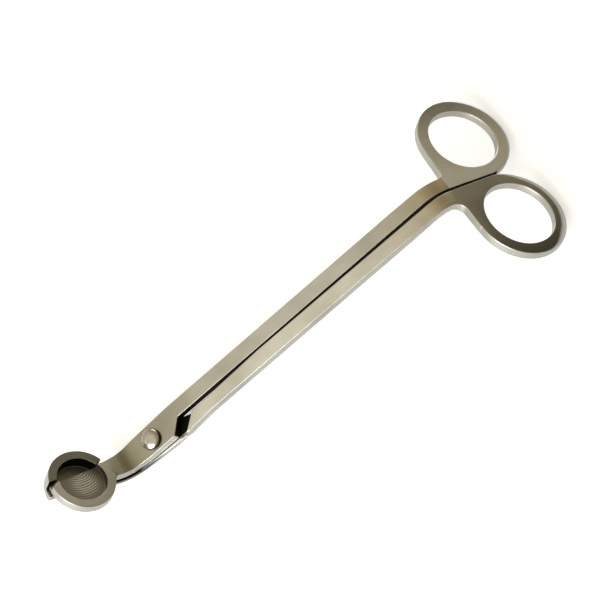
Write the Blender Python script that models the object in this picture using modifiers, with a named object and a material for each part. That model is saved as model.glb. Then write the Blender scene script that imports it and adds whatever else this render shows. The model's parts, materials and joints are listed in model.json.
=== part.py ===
"""A wick trimmer: two forged steel halves that cross at one rivet, like scissors.

Each half is drawn as a flat blank, thickness and all, and then bent across its width in two
places, as the forging is: the cup end turns up at the neck, and the finger rings turn down.
Blank coordinates: the origin is the rivet's axis on the upper half's top face, +X runs along
the shank to the finger rings, and +Z is the top face's normal. The upper half lies on the +Y
side of the handles, the lower half on the -Y side.
"""

import math

import bmesh
import bpy
import numpy as np
from mathutils import Matrix, Vector

MM = 0.001

# Plate and clearances
PLATE = 3.0 * MM                # thickness of the shanks, the rings and the upper half's arm
ARM_GAP = 0.3 * MM              # between the two arms where they cross at the rivet
LOWER_ARM = 2.0 * MM            # thickness of the lower half's arm, under the upper one
EDGE_CHAMFER = 0.2 * MM         # broken edge round both blanks
WELD = 1e-6                     # points nearer than this are one point
PAST = 1.0 * MM                 # how far a cutter runs past a face that it cuts
BROKEN_ANGLE = math.radians(50)         # edges sharper than this are broken
SHARP_ANGLE = math.radians(30)          # edges sharper than this are shaded sharp

# Shanks: half widths either side of the split between them
UPPER_OUTER = 5.15 * MM
UPPER_INNER = 0.1 * MM
LOWER_OUTER = -5.6 * MM
LOWER_INNER = -0.45 * MM

# Bends, each measured at the upper half's top face
RING_CORNER = 118.6 * MM        # from the rivet to where the shank's and the rings' faces would meet
RING_ANGLE = math.radians(46.0)
RING_RADIUS = 13.0 * MM
CUP_CORNER = 11.1 * MM          # from the rivet to where the shank's and the cup's faces would meet
CUP_ANGLE = math.radians(52.0)
CUP_RADIUS = 8.0 * MM
BEND_STEPS = 8

# Finger rings, from the ring corner outwards; the lower one is a little wider
UPPER, LOWER = 1, -1            # the side that each half's handle lies on
RING_FROM_CORNER = 21.3 * MM
RING_GAP = {UPPER: 0.2 * MM, LOWER: 0.2 * MM}       # from the middle plane to the ring
RING_LENGTH = 29.6 * MM
RING_WIDTH = {UPPER: 30.6 * MM, LOWER: 31.4 * MM}
HOLE_FROM_CORNER = 21.0 * MM
HOLE_LENGTH = 21.7 * MM
HOLE_WIDTH = {UPPER: 22.7 * MM, LOWER: 23.4 * MM}
CROTCH_FROM_CORNER = 6.1 * MM
CROTCH_ASIDE = {UPPER: 4.85 * MM, LOWER: 5.4 * MM}
CROTCH_RADIUS = {UPPER: 2.4 * MM, LOWER: 3.6 * MM}
RING_STEPS = 72
BAR_STEPS = 4

# Rounding of a ring's bar at each corner of its section, as (across, down): beside the shank it
# is the broken edge of the plate, and round the ring's far end the outside is dressed right down
BESIDE_SHANK = (0.25 * MM, 0.25 * MM)
FAR_OUTER_TOP = {UPPER: (1.5 * MM, 0.9 * MM), LOWER: (2.5 * MM, 1.3 * MM)}
FAR_OUTER_UNDER = (1.2 * MM, 1.1 * MM)
FAR_INNER_UNDER = (0.6 * MM, 0.6 * MM)
FAR_INNER_TOP = (0.5 * MM, 0.4 * MM)
DRESSED_FROM, DRESSED_FULLY = 95, 45    # degrees either side of the far end

# Cup, from the cup corner outwards
CUP_FROM_CORNER = 16.3 * MM
CUP_ASIDE = -0.95 * MM
CUP_OUTER = 10.6 * MM
CUP_INNER = 7.85 * MM
CUP_DEPTH = 2.0 * MM            # of the upper half's recess below the rim
LOWER_CUP_SHIFT = 0.6 * MM      # the lower half's cup sits this much further out
LOWER_CUP_DEPTH = 4.0 * MM      # of the lower half's floor below the same rim
LOWER_CUT = -1.5 * MM           # the lower half's cutting edge, hidden under the upper floor
LOWER_RIM_CUT = 1.6 * MM        # where the lower half's rim stops at the tip
TIP_GAP = 0.35 * MM             # between the two halves' edges at the tip
CUP_STEPS = 96

# Edges of the two arms beside the rivet, and of the necks behind the cup
UPPER_ARM_NEAR = -4.4 * MM
UPPER_NECK_FAR = 4.45 * MM
UPPER_NECK_NEAR = -4.0 * MM
LOWER_ARM_FAR = 4.3 * MM
LOWER_ARM_NEAR = -5.0 * MM
LOWER_NECK_FAR = 4.0 * MM
LOWER_NECK_NEAR = -4.5 * MM
LOWER_SHOULDER = -6.3 * MM      # the lower shank is widest just past the step

# Shoulders of the box joint
SHOULDER_START = 6.9 * MM       # along the upper half, at its near edge
SHOULDER_END = 11.2 * MM        # and at the split between the shanks
STEP_DISTANCE = 11.95 * MM      # from the rivet to the lower half's step, square to the step
STEP_SLANT = math.radians(41.0)
STEP_RUN = 1.6 * MM             # the step's run on the top face
UNDER_START = 14.0 * MM         # the underside steps down over a longer run
UNDER_END = 6.5 * MM

# Rivet
RIVET_HEAD = 6.8 * MM
RIVET_BRIM = 0.35 * MM          # straight edge of the head, below its dome
RIVET_RISE = 1.5 * MM
RIVET_SHANK = 4.0 * MM
RIVET_TAIL = 5.4 * MM
RIVET_TAIL_DEPTH = 0.8 * MM
RIVET_CLEARANCE = 0.15 * MM
RIVET_STEPS = 48

STEEL = (0.45, 0.42, 0.36)
POLISHED = (0.62, 0.60, 0.56)

# What the sizes above give
RING_TANGENT = RING_RADIUS * math.tan(RING_ANGLE / 2)
RING_BEND = RING_CORNER - RING_TANGENT
RING_FLAT = RING_BEND + RING_RADIUS * RING_ANGLE - RING_TANGENT
CUP_TANGENT = CUP_RADIUS * math.tan(CUP_ANGLE / 2)
CUP_BEND = CUP_CORNER - CUP_TANGENT
CUP_FLAT = CUP_BEND + CUP_RADIUS * CUP_ANGLE - CUP_TANGENT
LOWER_TOP = -(PLATE + ARM_GAP)
LOWER_BOTTOM = LOWER_TOP - LOWER_ARM
CUP_CENTRE = (-CUP_FLAT - CUP_FROM_CORNER, CUP_ASIDE)
LOWER_CUP_CENTRE = (CUP_CENTRE[0] - LOWER_CUP_SHIFT, CUP_ASIDE)


# ---------------------------------------------------------------- scene helpers

def clear_scene():
    """Removes whatever the file holds."""
    for thing in list(bpy.data.objects):
        bpy.data.objects.remove(thing, do_unlink=True)


def collection(name):
    """A new collection in the scene."""
    group = bpy.data.collections.new(name)
    bpy.context.scene.collection.children.link(group)
    return group


def steel(name, colour, roughness):
    """A metal: a Principled BSDF with one colour."""
    material = bpy.data.materials.new(name)
    material.use_nodes = True
    shader = material.node_tree.nodes["Principled BSDF"]
    shader.inputs["Base Color"].default_value = (*colour, 1.0)
    shader.inputs["Roughness"].default_value = roughness
    shader.inputs["Metallic"].default_value = 1.0
    return material


def evaluated_mesh(thing):
    """The object's mesh with its modifiers, in the place its matrix gives."""
    bpy.context.view_layer.update()
    depsgraph = bpy.context.evaluated_depsgraph_get()
    mesh = bpy.data.meshes.new_from_object(thing.evaluated_get(depsgraph))
    mesh.transform(thing.matrix_world)
    return mesh


def replace_by_mesh(thing):
    """Turns an object into a plain welded mesh object of the same name."""
    mesh = evaluated_mesh(thing)
    name = thing.name
    group = thing.users_collection[0]
    bpy.data.objects.remove(thing, do_unlink=True)
    edit = bmesh.new()
    edit.from_mesh(mesh)
    bmesh.ops.remove_doubles(edit, verts=edit.verts, dist=WELD)
    bmesh.ops.dissolve_limit(edit, angle_limit=math.radians(0.5), verts=edit.verts,
                             edges=edit.edges)
    edit.to_mesh(mesh)
    edit.free()
    plain = bpy.data.objects.new(name, mesh)
    group.objects.link(plain)
    return plain


# ---------------------------------------------------------------- outlines

def arc(centre, radii, start, end, steps):
    """Points on an ellipse's arc, from start to end in degrees, both ends included."""
    turns = np.radians(np.linspace(start, end, steps + 1))
    return [(centre[0] + radii[0] * math.cos(t), centre[1] + radii[1] * math.sin(t))
            for t in turns]


def rounded(corners, steps=6):
    """Points of a path whose corners (x, y, radius) are rounded where they have a radius."""
    points = []
    for before, corner, after in zip(corners, corners[1:], corners[2:]):
        here = Vector(corner[:2])
        if not corner[2]:
            points.append(tuple(here))
            continue
        towards = (Vector(before[:2]) - here).normalized()
        onwards = (Vector(after[:2]) - here).normalized()
        half = towards.angle(onwards) / 2
        first = here + towards * corner[2] / math.tan(half)
        centre = here + (towards + onwards).normalized() * corner[2] / math.sin(half)
        turn = math.pi - 2 * half
        side = 1 if towards.cross(onwards) < 0 else -1
        spoke = first - centre
        for step in range(steps + 1):
            spin = Matrix.Rotation(side * turn * step / steps, 2)
            points.append(tuple(centre + spin @ spoke))
    return points


def from_ring(distance, aside, radius=0.0):
    """A corner in the ring's plane, measured from the ring corner."""
    return (RING_FLAT + distance, aside, radius)


def from_cup(towards, aside, radius=0.0):
    """A corner in the cup's plane, measured from the cup's middle towards the neck."""
    return (CUP_CENTRE[0] + towards, aside, radius)


def ring_centre(side):
    """The middle of one finger ring's outer line."""
    return RING_FLAT + RING_FROM_CORNER, side * (RING_GAP[side] + RING_WIDTH[side] / 2)


def hole_centre(side):
    """The middle of one finger hole, in the middle of the ring's width."""
    return RING_FLAT + HOLE_FROM_CORNER, ring_centre(side)[1]


def bar_point(side, turn, share):
    """A point of one ring's bar: the turn from the far end outwards, the share from the hole."""
    spoke = np.array([math.cos(turn), side * math.sin(turn)])
    inner = hole_centre(side) + spoke * (HOLE_LENGTH / 2, HOLE_WIDTH[side] / 2)
    outer = ring_centre(side) + spoke * (RING_LENGTH / 2, RING_WIDTH[side] / 2)
    return tuple(inner + (outer - inner) * share)


def web_side(side):
    """The web between the shank and one ring: the flat at the split, the bar's middle, the crotch."""
    flat_end = RING_FROM_CORNER - 0.5 * MM
    flat = [from_ring(flat_end, side * RING_GAP[side])[:2]]
    middle = [bar_point(side, turn, 0.5) for turn in np.radians(np.linspace(-92, -190, 19))]
    crotch = from_ring(CROTCH_FROM_CORNER, side * CROTCH_ASIDE[side], CROTCH_RADIUS[side])
    near = from_ring(CROTCH_FROM_CORNER + 0.3 * MM, ring_centre(side)[1])
    shank = (RING_BEND, side * CROTCH_ASIDE[side], 0)
    return flat + middle + [near[:2]] + rounded([near, crotch, shank])


def upper_outline():
    """The upper half's blank, from its shoulder round by the ring, the neck and the cup."""
    shoulder = rounded([(0, UPPER_ARM_NEAR, 0),
                        (SHOULDER_START, UPPER_ARM_NEAR, 0.8 * MM),
                        (SHOULDER_END, UPPER_INNER, 1.2 * MM),
                        (RING_BEND, UPPER_INNER, 0),
                        (RING_FLAT, UPPER_INNER, 0)])
    neck = rounded([(RING_BEND, CROTCH_ASIDE[UPPER], 0),
                    (RING_BEND - 9 * MM, UPPER_OUTER, 20 * MM),
                    (9.0 * MM, UPPER_OUTER, 60 * MM),
                    (-CUP_BEND, UPPER_NECK_FAR, 20 * MM),
                    from_cup(CUP_OUTER - 1.1 * MM, 2.6 * MM),
                    from_cup(-CUP_INNER, 1.4 * MM)])
    edge = math.degrees(math.asin((LOWER_RIM_CUT - TIP_GAP - CUP_ASIDE) / CUP_OUTER))
    cup = arc(CUP_CENTRE, (CUP_OUTER, CUP_OUTER), 180 - edge, 336, CUP_STEPS // 2)
    arm = rounded([(*cup[-1], 0),
                   from_cup(CUP_OUTER + 0.7 * MM, -3.75 * MM, 0.8 * MM),
                   (-CUP_BEND - 2 * MM, UPPER_NECK_NEAR, 30 * MM),
                   (-CUP_BEND / 2, UPPER_ARM_NEAR, 30 * MM),
                   (SHOULDER_START, UPPER_ARM_NEAR, 0)])
    return shoulder + web_side(UPPER) + neck + cup + arm


def lower_outline():
    """The lower half's blank without its cup, which is joined on later."""
    beside_step = (STEP_DISTANCE - 3 * MM, LOWER_ARM_NEAR - 0.5 * MM, 4 * MM)
    shank = rounded([(0, LOWER_ARM_NEAR, 0),
                     beside_step,
                     (STEP_DISTANCE, LOWER_SHOULDER, 3 * MM),
                     (STEP_DISTANCE + 10 * MM, LOWER_OUTER, 20 * MM),
                     (RING_BEND - 9 * MM, LOWER_OUTER, 20 * MM),
                     (RING_BEND, -CROTCH_ASIDE[LOWER], 0)])
    split = rounded([(RING_FLAT + RING_FROM_CORNER, LOWER_INNER, 0),
                     from_ring(5 * MM, -0.55 * MM),
                     (RING_BEND, -0.8 * MM, 10 * MM),
                     (45.0 * MM, LOWER_INNER, 60 * MM),
                     (STEP_DISTANCE + 5 * MM, LOWER_INNER - MM, 0.5 * MM),
                     (STEP_DISTANCE, 0.3 * MM, 2 * MM),
                     (SHOULDER_START, LOWER_ARM_FAR, 4 * MM),
                     (-CUP_BEND, LOWER_NECK_FAR, 20 * MM),
                     from_cup(CUP_OUTER - 1.5 * MM, 2.4 * MM),
                     from_cup(CUP_OUTER - 4.3 * MM, 2.4 * MM),
                     from_cup(CUP_OUTER - 4.3 * MM, LOWER_CUT - 0.3 * MM),
                     from_cup(CUP_OUTER - 1.3 * MM, LOWER_CUT - 0.3 * MM, 1 * MM),
                     from_cup(CUP_OUTER + 1.2 * MM, -3.7 * MM, 3 * MM),
                     (-CUP_BEND - MM, LOWER_NECK_NEAR, 30 * MM),
                     (0, LOWER_ARM_NEAR, 20 * MM),
                     beside_step])
    return shank + web_side(LOWER)[::-1] + split


# ---------------------------------------------------------------- solids

def prism(name, outline, bottom, top, group, chamfer=0.0):
    """A flat plate between two heights, from a filled curve, with its edges broken."""
    curve = bpy.data.curves.new(name, "CURVE")
    curve.dimensions = "2D"
    curve.fill_mode = "BOTH"
    curve.extrude = (top - bottom) / 2
    spline = curve.splines.new("POLY")
    spline.points.add(len(outline) - 1)
    for point, place in zip(spline.points, outline):
        point.co = (*place, 0, 1)
    spline.use_cyclic_u = True
    shape = bpy.data.objects.new(name, curve)
    shape.location.z = (top + bottom) / 2
    group.objects.link(shape)
    solid = replace_by_mesh(shape)
    if chamfer:
        bevel = solid.modifiers.new("broken edges", "BEVEL")
        bevel.width = chamfer
        bevel.segments = 1
        bevel.limit_method = "ANGLE"
        bevel.angle_limit = BROKEN_ANGLE
        bevel.use_clamp_overlap = False
        solid = replace_by_mesh(solid)
    return solid


def bar_section(side, width, dressed):
    """A section of a ring's bar, as (distance from the hole's wall, height) all the way round."""
    far = [FAR_OUTER_TOP[side], FAR_OUTER_UNDER, FAR_INNER_UNDER, FAR_INNER_TOP]
    section = []
    for quarter, far_corner in enumerate(far):
        beside = np.array(BESIDE_SHANK)
        across, down = beside + (np.array(far_corner) - beside) * dressed
        centre = (width - across if quarter < 2 else across,
                  -down if quarter in (0, 3) else down - PLATE)
        start = 90 * (1 - quarter)
        section += arc(centre, (across, down), start, start - 90, BAR_STEPS)
    return section


def finger_ring(name, side, group):
    """A finger ring: square beside the shank, and dressed round at its far end."""
    edit = bmesh.new()
    sections = []
    for degrees in np.linspace(0, 360, RING_STEPS, endpoint=False):
        turn = math.radians(degrees)
        dressed = 1 - ramp(min(degrees, 360 - degrees), DRESSED_FULLY, DRESSED_FROM)
        width = math.dist(bar_point(side, turn, 0), bar_point(side, turn, 1))
        sections.append([edit.verts.new((*bar_point(side, turn, out / width), height))
                         for out, height in bar_section(side, width, dressed)])
    for here, onward in zip(sections, sections[1:] + sections[:1]):
        for k in range(len(here)):
            edit.faces.new((here[k - 1], here[k], onward[k], onward[k - 1]))
    bmesh.ops.recalc_face_normals(edit, faces=edit.faces)
    mesh = bpy.data.meshes.new(name)
    edit.to_mesh(mesh)
    edit.free()
    ring = bpy.data.objects.new(name, mesh)
    group.objects.link(ring)
    return as_cutter(ring)


def round_cutter(name, centre, radius, bottom, top, steps, group, top_radius=None):
    """A round cutter, straight or tapered."""
    edit = bmesh.new()
    place = Matrix.Translation((centre[0], centre[1], (bottom + top) / 2))
    bmesh.ops.create_cone(edit, cap_ends=True, segments=steps, radius1=radius,
                          radius2=radius if top_radius is None else top_radius,
                          depth=top - bottom, matrix=place)
    mesh = bpy.data.meshes.new(name)
    edit.to_mesh(mesh)
    edit.free()
    cutter = bpy.data.objects.new(name, mesh)
    group.objects.link(cutter)
    return as_cutter(cutter)


def as_cutter(thing):
    """Marks an object as a cutter, which is no part of the tool."""
    thing.hide_render = True
    thing.display_type = "WIRE"
    return thing


def combine(target, others, operation):
    """Cuts the others from the target, or joins them to it, and keeps the plain result."""
    for other in others:
        boolean = target.modifiers.new(other.name, "BOOLEAN")
        boolean.object = other
        boolean.operation = operation
        boolean.solver = "EXACT"
    return replace_by_mesh(target)


# ---------------------------------------------------------------- forging

def ramp(value, start, end):
    """0 before start and 1 after end, smooth between them."""
    share = min(max((value - start) / (end - start), 0.0), 1.0)
    return share * share * (3 - 2 * share)


def cut_across(edit, place, normal):
    """Puts a line of points right across a blank, without parting it."""
    bmesh.ops.bisect_plane(edit, geom=[*edit.verts, *edit.edges, *edit.faces],
                           plane_co=place, plane_no=normal, dist=WELD / 10)


def step_square():
    """The direction square to the slanted step, towards the handles."""
    return Vector((math.sin(STEP_SLANT), -math.cos(STEP_SLANT), 0))


def forge_step(solid):
    """Forges the lower half's arm down, so that it passes under the upper half's."""
    edit = bmesh.new()
    edit.from_mesh(solid.data)
    square = step_square()
    relief = (-CUP_BEND, -CUP_BEND - CUP_RADIUS * CUP_ANGLE)
    lines = [STEP_DISTANCE - STEP_RUN * k / 4 for k in range(5)]
    lines += [UNDER_START + (UNDER_END - UNDER_START) * k / 6 for k in range(7)]
    for line in lines:
        cut_across(edit, square * line, square)
    for k in range(5):
        cut_across(edit, (relief[0] + (relief[1] - relief[0]) * k / 4, 0, 0), (1, 0, 0))
    bmesh.ops.triangulate(edit, faces=edit.faces)
    for vert in edit.verts:
        along = vert.co.dot(square)
        behind = vert.co.x < RING_BEND / 2
        top = LOWER_TOP * ramp(-along, -STEP_DISTANCE, STEP_RUN - STEP_DISTANCE) * behind
        under = ramp(-along, -UNDER_START, -UNDER_END) * behind
        bottom = -PLATE + (LOWER_BOTTOM + PLATE) * under
        sunk = (LOWER_CUP_DEPTH + LOWER_TOP) * ramp(-vert.co.x, -relief[0], -relief[1])
        vert.co.z = top + (bottom - top) * (-vert.co.z / PLATE) - sunk
    edit.to_mesh(solid.data)
    edit.free()


def bent(point):
    """Where a point of the flat blank goes when the neck and the rings are bent."""
    x, y, z = point
    if x > RING_BEND:
        turn = min((x - RING_BEND) / RING_RADIUS, RING_ANGLE)
        rest = x - RING_BEND - RING_RADIUS * turn
        radius = RING_RADIUS + z
        return Vector((RING_BEND + radius * math.sin(turn) + rest * math.cos(turn), y,
                       radius * math.cos(turn) - RING_RADIUS - rest * math.sin(turn)))
    if x < -CUP_BEND:
        turn = min((-CUP_BEND - x) / CUP_RADIUS, CUP_ANGLE)
        rest = -CUP_BEND - x - CUP_RADIUS * turn
        radius = CUP_RADIUS - z
        return Vector((-CUP_BEND - radius * math.sin(turn) - rest * math.cos(turn), y,
                       CUP_RADIUS - radius * math.cos(turn) + rest * math.sin(turn)))
    return Vector(point)


def bend(solid):
    """Bends a finished flat blank at the neck and at the rings."""
    edit = bmesh.new()
    edit.from_mesh(solid.data)
    for step in range(BEND_STEPS + 1):
        ring_line = RING_BEND + RING_RADIUS * RING_ANGLE * step / BEND_STEPS
        cup_line = -CUP_BEND - CUP_RADIUS * CUP_ANGLE * step / BEND_STEPS
        cut_across(edit, (ring_line, 0, 0), (1, 0, 0))
        cut_across(edit, (cup_line, 0, 0), (1, 0, 0))
    bmesh.ops.triangulate(edit, faces=edit.faces)
    for vert in edit.verts:
        vert.co = bent(vert.co)
    bmesh.ops.remove_doubles(edit, verts=edit.verts, dist=WELD)
    bmesh.ops.recalc_face_normals(edit, faces=edit.faces)
    edit.to_mesh(solid.data)
    edit.free()


# ---------------------------------------------------------------- the three pieces

def upper_half(parts, cutters):
    """The half that lies on top at the rivet, with the near part of the cup."""
    blank = prism("upper_half", upper_outline(), -PLATE, 0, parts, EDGE_CHAMFER)
    blank = combine(blank, [finger_ring("upper_ring", UPPER, cutters)], "UNION")
    recess = round_cutter("upper_recess", CUP_CENTRE, CUP_INNER, -CUP_DEPTH, PLATE,
                          CUP_STEPS, cutters)
    inside, beyond = 0.65 * MM - CUP_INNER, -CUP_OUTER - 3.1 * MM
    tip = [from_cup(inside, 1.2 * MM)[:2], from_cup(beyond, -2.2 * MM)[:2],
           from_cup(beyond, 4.0 * MM)[:2], from_cup(inside, 4.0 * MM)[:2]]
    rim_end = as_cutter(prism("upper_rim_end", tip, -CUP_DEPTH, PLATE, cutters))
    bore = round_cutter("upper_bore", (0, 0), RIVET_SHANK / 2 + RIVET_CLEARANCE, -2 * PLATE,
                        PLATE, RIVET_STEPS, cutters)
    half = combine(blank, [recess, rim_end, bore], "DIFFERENCE")
    bend(half)
    return half


def lower_cup(cutters):
    """The lower half's cup: a floor, and a rim round its far side."""
    outline = arc(LOWER_CUP_CENTRE, (CUP_OUTER, CUP_OUTER), -5, 183, CUP_STEPS // 2)
    cup = as_cutter(prism("lower_cup", outline, -LOWER_CUP_DEPTH - LOWER_ARM, 0, cutters))
    inside = round_cutter("lower_inside", LOWER_CUP_CENTRE, CUP_INNER, -LOWER_CUP_DEPTH, PLATE,
                          CUP_STEPS, cutters)
    by_neck, beyond = CUP_OUTER + 0.7 * MM, -2 * CUP_OUTER
    near = [from_cup(beyond, LOWER_RIM_CUT)[:2],
            from_cup(CUP_INNER - 3.55 * MM, LOWER_RIM_CUT)[:2],
            from_cup(CUP_INNER - 0.85 * MM, 2.65 * MM)[:2], from_cup(by_neck, 4.7 * MM)[:2],
            from_cup(by_neck, beyond)[:2], from_cup(beyond, beyond)[:2]]
    opening = as_cutter(prism("lower_opening", near, -LOWER_CUP_DEPTH, PLATE, cutters))
    return as_cutter(combine(cup, [inside, opening], "DIFFERENCE"))


def lower_half(parts, cutters):
    """The half whose arm steps down under the other, with the far part of the cup."""
    blank = prism("lower_half", lower_outline(), -PLATE, 0, parts, EDGE_CHAMFER)
    forge_step(blank)
    joined = [lower_cup(cutters), finger_ring("lower_ring", LOWER, cutters)]
    half = combine(blank, joined, "UNION")
    bore = round_cutter("lower_bore", (0, 0), RIVET_SHANK / 2 + RIVET_CLEARANCE,
                        2 * LOWER_BOTTOM, PLATE, RIVET_STEPS, cutters)
    seat = round_cutter("lower_seat", (0, 0), RIVET_TAIL / 2 + RIVET_CLEARANCE + PAST,
                        LOWER_BOTTOM - PAST, LOWER_BOTTOM + RIVET_TAIL_DEPTH, RIVET_STEPS,
                        cutters, RIVET_SHANK / 2 + RIVET_CLEARANCE)
    half = combine(half, [bore, seat], "DIFFERENCE")
    bend(half)
    return half


def pivot_rivet(parts):
    """The rivet: a domed head on the upper half, a straight shank and a flush tail."""
    neck = RIVET_SHANK / 2
    head = RIVET_HEAD / 2
    under = ARM_GAP / 2
    dome = [(head * math.cos(t), under + RIVET_BRIM + RIVET_RISE * math.sin(t))
            for t in np.radians(np.linspace(90, 0, 13))]
    profile = [*dome, (head, under), (neck, under), (neck, LOWER_BOTTOM + RIVET_TAIL_DEPTH),
               (RIVET_TAIL / 2, LOWER_BOTTOM), (0.0, LOWER_BOTTOM)]
    mesh = bpy.data.meshes.new("pivot_rivet")
    points = [(max(radius, 0.0), 0, height) for radius, height in profile]
    mesh.from_pydata(points, [(k, k + 1) for k in range(len(points) - 1)], [])
    rivet = bpy.data.objects.new("pivot_rivet", mesh)
    parts.objects.link(rivet)
    screw = rivet.modifiers.new("turned", "SCREW")
    screw.steps = RIVET_STEPS
    screw.render_steps = RIVET_STEPS
    screw.use_merge_vertices = True
    screw.merge_threshold = WELD
    rivet = replace_by_mesh(rivet)
    return rivet


# ---------------------------------------------------------------- resting place

def resting_tilt(points):
    """The angle that lays the tool on its neck and its rings, from its lowest points."""
    handle = min((p for p in points if p.x > RING_CORNER), key=lambda p: p.z)
    tilt = -math.pi
    for _ in range(3):
        front = [p for p in points if p.x < 0]
        tilt = min(math.atan2(p.z - handle.z, handle.x - p.x) for p in front)
        low = Vector((math.sin(tilt), 0, math.cos(tilt)))
        handle = min((p for p in points if p.x > RING_CORNER), key=low.dot)
    return tilt


def stand(halves, rivet):
    """Parents the pieces to one empty that lays the closed tool on the ground, centred."""
    points = [vert.co.copy() for half in halves for vert in half.data.vertices]
    turn = Matrix.Rotation(-resting_tilt(points), 4, "Y")
    laid = np.array([turn @ point for point in points])
    low, high = laid.min(axis=0), laid.max(axis=0)
    pivot = bpy.data.objects.new("pivot", None)
    pivot.location = (-(low[0] + high[0]) / 2, -(low[1] + high[1]) / 2, -low[2])
    pivot.rotation_euler = turn.to_euler()
    halves[0].users_collection[0].objects.link(pivot)
    for piece in [*halves, rivet]:
        piece.parent = pivot


def finish(piece, material):
    """Gives a piece its steel and smooth round faces with sharp edges."""
    piece.data.materials.clear()
    piece.data.materials.append(material)
    piece.data.shade_smooth()
    piece.data.set_sharp_from_angle(angle=SHARP_ANGLE)


def main():
    clear_scene()
    parts = collection("wick_trimmer")
    cutters = collection("cutters")
    brushed = steel("brushed_steel", STEEL, 0.38)
    polished = steel("polished_steel", POLISHED, 0.15)
    upper = upper_half(parts, cutters)
    lower = lower_half(parts, cutters)
    rivet = pivot_rivet(parts)
    finish(upper, brushed)
    finish(lower, brushed)
    finish(rivet, polished)
    stand([lower, upper], rivet)


main()
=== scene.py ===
"""A wick trimmer in satin steel: two halves bent from plate, held by one polished rivet.

Each half is drawn as a flat blank in the rivet's own frame, thickness and all, given its broken
edges, its cup and its dressed finger ring, and then bent at the neck and at the rings. The
blank's flat place is kept on the mesh, so that the grain follows the steel round its bends.
Blank frame: the origin is the rivet's axis on the upper half's top face, +X runs along the
shank to the rings, +Z is that face's normal.
"""

import json
import math

import bmesh
import bpy
import numpy as np
from mathutils import Matrix, Vector


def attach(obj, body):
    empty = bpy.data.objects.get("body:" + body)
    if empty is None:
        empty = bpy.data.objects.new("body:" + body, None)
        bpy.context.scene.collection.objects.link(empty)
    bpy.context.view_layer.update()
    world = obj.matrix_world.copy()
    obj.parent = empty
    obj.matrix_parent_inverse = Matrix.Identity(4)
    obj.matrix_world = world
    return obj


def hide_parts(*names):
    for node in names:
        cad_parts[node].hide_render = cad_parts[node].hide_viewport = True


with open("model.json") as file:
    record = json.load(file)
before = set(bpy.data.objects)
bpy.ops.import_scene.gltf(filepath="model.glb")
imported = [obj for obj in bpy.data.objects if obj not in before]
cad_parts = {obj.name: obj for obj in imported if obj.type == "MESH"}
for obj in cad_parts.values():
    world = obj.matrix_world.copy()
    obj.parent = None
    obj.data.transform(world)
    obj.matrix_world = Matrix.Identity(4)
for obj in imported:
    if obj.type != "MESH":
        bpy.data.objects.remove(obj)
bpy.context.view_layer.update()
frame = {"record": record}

MM = 0.001
UPPER, LOWER = 1, -1            # the side that each half's handle lies on

# Plate
PLATE = 3.0 * MM
ARM_GAP = 0.3 * MM
LOWER_ARM = 2.0 * MM
BROKEN_EDGE = 0.26 * MM
CUP_EDGE = 0.14 * MM
BREAK_STEPS = 3
WELD = 1e-6
PAST = 1.0 * MM
BROKEN_ANGLE = math.radians(40)
SHARP_ANGLE = math.radians(38)

# Shanks
UPPER_OUTER = 5.15 * MM
UPPER_INNER = 0.1 * MM
LOWER_OUTER = -5.6 * MM
LOWER_INNER = -0.45 * MM

# Bends
RING_CORNER = 118.6 * MM
RING_ANGLE = math.radians(46.0)
RING_RADIUS = 13.0 * MM
CUP_CORNER = 11.1 * MM
CUP_ANGLE = math.radians(52.0)
CUP_RADIUS = 8.0 * MM
BEND_STEPS = 26

# Finger rings
RING_FROM_CORNER = 21.3 * MM
RING_GAP = 0.2 * MM
RING_LENGTH = 29.6 * MM
RING_WIDTH = {UPPER: 30.6 * MM, LOWER: 31.4 * MM}
HOLE_FROM_CORNER = 21.0 * MM
HOLE_LENGTH = 21.7 * MM
HOLE_WIDTH = {UPPER: 22.7 * MM, LOWER: 23.4 * MM}
CROTCH_FROM_CORNER = 6.1 * MM
CROTCH_ASIDE = {UPPER: 4.85 * MM, LOWER: 5.4 * MM}
CROTCH_RADIUS = {UPPER: 2.4 * MM, LOWER: 3.6 * MM}
GROUND_FROM = 5.3 * MM          # the rings' faces are ground from this line outwards
RING_STEPS = 240
BAR_STEPS = 8
BESIDE_SHANK = (0.28 * MM, 0.28 * MM)
FAR_OUTER_TOP = {UPPER: (1.1 * MM, 0.6 * MM), LOWER: (2.7 * MM, 1.5 * MM)}
FAR_OUTER_UNDER = (1.2 * MM, 1.1 * MM)
FAR_INNER_UNDER = (0.6 * MM, 0.6 * MM)
FAR_INNER_TOP = (0.45 * MM, 0.35 * MM)
DRESSED_FROM, DRESSED_FULLY = 95, 45

# Cup
CUP_FROM_CORNER = 16.3 * MM
CUP_ASIDE = -0.95 * MM
CUP_OUTER = 10.6 * MM
CUP_INNER = 7.85 * MM
CUP_DEPTH = 2.0 * MM
CUP_FILLET = 0.5 * MM           # in the corner between the cup's floor and its wall
LOWER_CUP_SHIFT = 0.6 * MM
LOWER_CUP_DEPTH = 4.0 * MM
LOWER_CUT = -1.5 * MM
LOWER_RIM_CUT = 1.6 * MM
TIP_GAP = 0.35 * MM             # between the two halves' edges at the tip
CUP_STEPS = 192

# Arms, necks and the shoulders of the box joint
UPPER_ARM_NEAR = -4.4 * MM
UPPER_NECK_FAR = 4.45 * MM
UPPER_NECK_NEAR = -4.0 * MM
LOWER_ARM_FAR = 4.3 * MM
LOWER_ARM_NEAR = -5.0 * MM
LOWER_NECK_FAR = 4.0 * MM
LOWER_NECK_NEAR = -4.5 * MM
LOWER_SHOULDER = -6.3 * MM
SHOULDER_START = 6.9 * MM
SHOULDER_END = 11.2 * MM
STEP_DISTANCE = 11.95 * MM
STEP_SLANT = math.radians(41.0)
STEP_RUN = 1.6 * MM
UNDER_START = 14.0 * MM
UNDER_END = 6.5 * MM

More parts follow.
